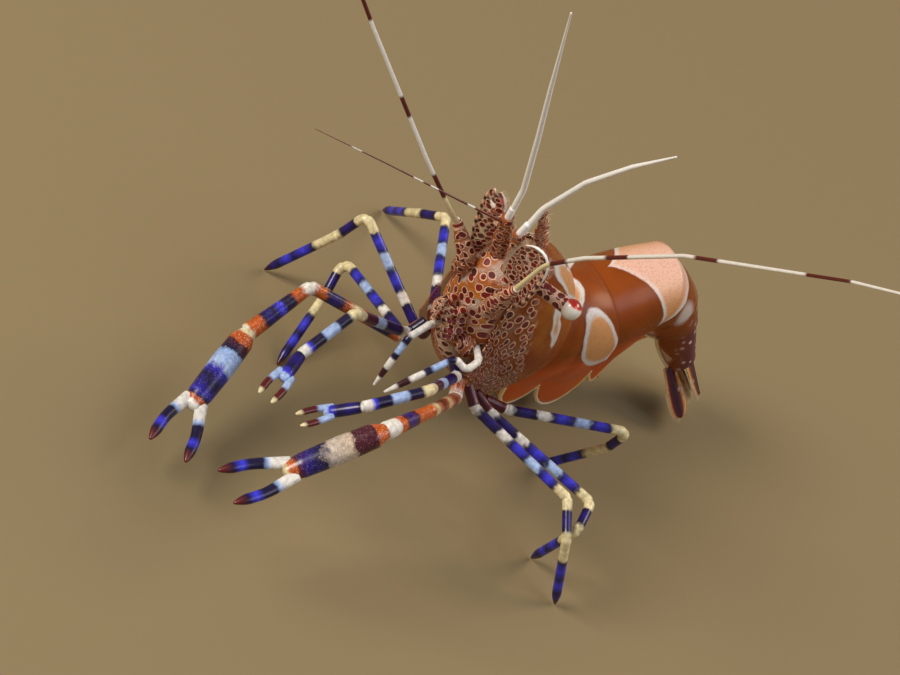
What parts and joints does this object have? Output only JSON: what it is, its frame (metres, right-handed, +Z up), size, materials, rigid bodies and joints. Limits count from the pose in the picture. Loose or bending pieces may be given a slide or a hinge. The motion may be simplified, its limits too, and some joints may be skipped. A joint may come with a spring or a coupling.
{
  "type": "cleaner shrimp",
  "caption": "Still life-size spotted cleaner shrimp standing with its head raised, claws held forward and feelers spread, its body humped and its tail fan turned down.",
  "frame": {"origin": "centre of the overall box in plan, at floor level under the feet", "axes": "+X is where the shrimp faces, +Y is its own left, +Z is up from the floor it stands on"},
  "size_m": [0.0246, 0.0324, 0.029],
  "materials": {
    "spotted_shell": "wet shell with ringed maroon spots",
    "clear_shell": "translucent amber shell with tan patches",
    "banded_leg": "glossy violet shell with white bands",
    "large_claw": "glossy orange and blue banded shell",
    "white_feeler": "satin",
    "banded_feeler": "satin, red-brown and white bands",
    "eye": "wet and glossy",
    "tail_fan": "glossy dark violet shell"
  },
  "bodies": {
    "root": {"abdomen_1": "clear_shell", "abdomen_2": "clear_shell", "abdomen_3": "clear_shell", "abdomen_4": "clear_shell", "abdomen_5": "clear_shell", "abdomen_6": "clear_shell", "antenna_base_left": "spotted_shell", "antenna_base_right": "spotted_shell", "antenna_left": "banded_feeler", "antenna_right": "banded_feeler", "antennal_scale_left": "spotted_shell", "antennal_scale_right": "spotted_shell", "antennule_base_left": "spotted_shell", "antennule_base_right": "spotted_shell", "antennule_inner_left": "white_feeler", "antennule_inner_right": "white_feeler", "antennule_outer_left": "white_feeler", "antennule_outer_right": "white_feeler", "arm_1_left": "banded_leg", "arm_1_right": "banded_leg", "arm_2_left": "large_claw", "arm_2_right": "large_claw", "carapace": "spotted_shell", "dactyl_2_left": "large_claw", "dactyl_2_right": "large_claw", "eye_left": "eye", "eye_right": "eye", "eyestalk_left": "spotted_shell", "eyestalk_right": "spotted_shell", "finger_2_left": "large_claw", "finger_2_right": "large_claw", "leg_3_left": "banded_leg", "leg_3_right": "banded_leg", "leg_4_left": "banded_leg", "leg_4_right": "banded_leg", "leg_5_left": "banded_leg", "leg_5_right": "banded_leg", "maxilliped_left": "banded_feeler", "maxilliped_right": "banded_feeler", "palm_1_left": "banded_leg", "palm_1_right": "banded_leg", "palm_2_left": "large_claw", "palm_2_right": "large_claw", "rostrum": "spotted_shell", "swimmeret_1_left": "clear_shell", "swimmeret_1_right": "clear_shell", "swimmeret_2_left": "clear_shell", "swimmeret_2_right": "clear_shell", "swimmeret_3_left": "clear_shell", "swimmeret_3_right": "clear_shell", "swimmeret_4_left": "clear_shell", "swimmeret_4_right": "clear_shell", "swimmeret_5_left": "clear_shell", "swimmeret_5_right": "clear_shell", "telson": "tail_fan", "thorax_underside": "spotted_shell", "uropod_inner_left": "tail_fan", "uropod_inner_right": "tail_fan", "uropod_outer_left": "tail_fan", "uropod_outer_right": "tail_fan"}
  },
  "joints": []
}
